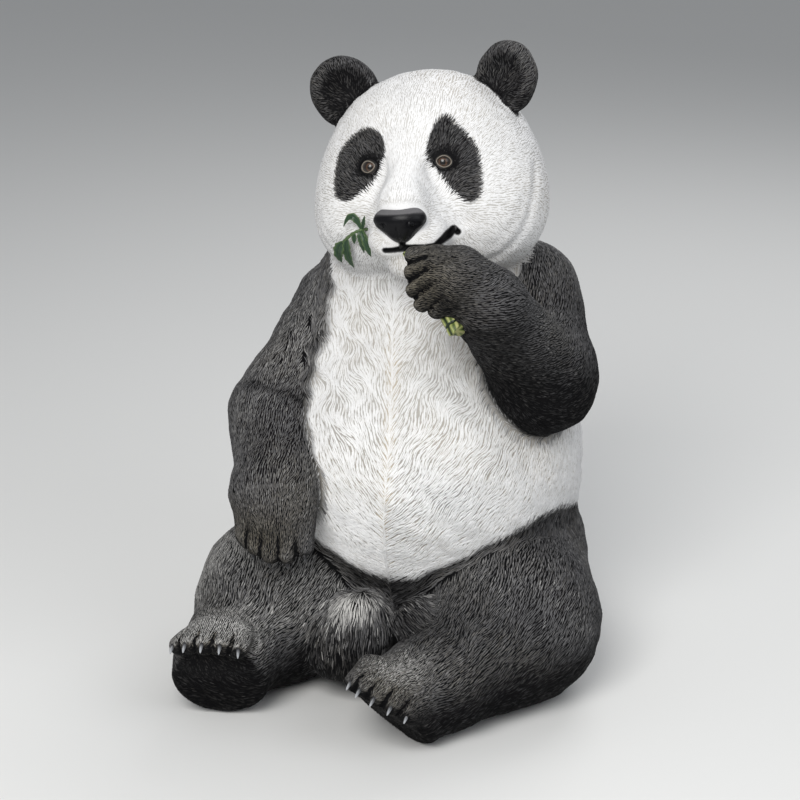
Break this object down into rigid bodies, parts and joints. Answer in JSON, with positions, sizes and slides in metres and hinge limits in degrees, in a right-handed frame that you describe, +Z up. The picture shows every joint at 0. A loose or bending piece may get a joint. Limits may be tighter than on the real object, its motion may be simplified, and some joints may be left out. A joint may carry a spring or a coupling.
{
  "type": "giant panda statue",
  "caption": "Life-size painted garden statue of a seated giant panda: legs forward, one paw resting on the knee, the other fist holding a bamboo stalk to its mouth.",
  "frame": {"origin": "on the floor, under the middle of the seat, on the trunk's flat underside", "axes": "+Z up, the statue faces -Y, +X is its own left"},
  "size_m": [0.6833, 0.7964, 1.0545],
  "materials": {
    "white_paint": "carved resin, matt off-white paint with a grey wash in the grooves",
    "black_paint": "carved resin, satin black paint dry-brushed with grey",
    "gloss_black": "gloss black paint",
    "eye_glass": "glossy dark brown eye with a black pupil",
    "claw_grey": "satin silver-grey paint",
    "stalk_green": "yellow-green paint with dark grooves",
    "leaf_green": "dark green paint with lighter edges"
  },
  "bodies": {
    "root": {"head": "white_paint", "neck": "white_paint", "trunk": "white_paint", "tail": "white_paint", "ear_left": "black_paint", "ear_right": "black_paint", "groin_tuft": "black_paint", "upper_arm_left": "black_paint", "forearm_left": "black_paint", "front_paw_left": "black_paint", "thigh_left": "black_paint", "shin_left": "black_paint", "hind_paw_left": "black_paint", "upper_arm_right": "black_paint", "forearm_right": "black_paint", "front_paw_right": "black_paint", "thigh_right": "black_paint", "shin_right": "black_paint", "hind_paw_right": "black_paint", "nose": "gloss_black", "eye_left": "eye_glass", "eye_right": "eye_glass", "claw_front_right_1": "claw_grey", "claw_front_right_2": "claw_grey", "claw_front_right_3": "claw_grey", "claw_front_right_4": "claw_grey", "claw_front_right_5": "claw_grey", "claw_hind_left_1": "claw_grey", "claw_hind_left_2": "claw_grey", "claw_hind_left_3": "claw_grey", "claw_hind_left_4": "claw_grey", "claw_hind_left_5": "claw_grey", "claw_hind_right_1": "claw_grey", "claw_hind_right_2": "claw_grey", "claw_hind_right_3": "claw_grey", "claw_hind_right_4": "claw_grey", "claw_hind_right_5": "claw_grey", "bamboo_stalk": "stalk_green", "bamboo_sprig": "leaf_green"}
  },
  "joints": []
}
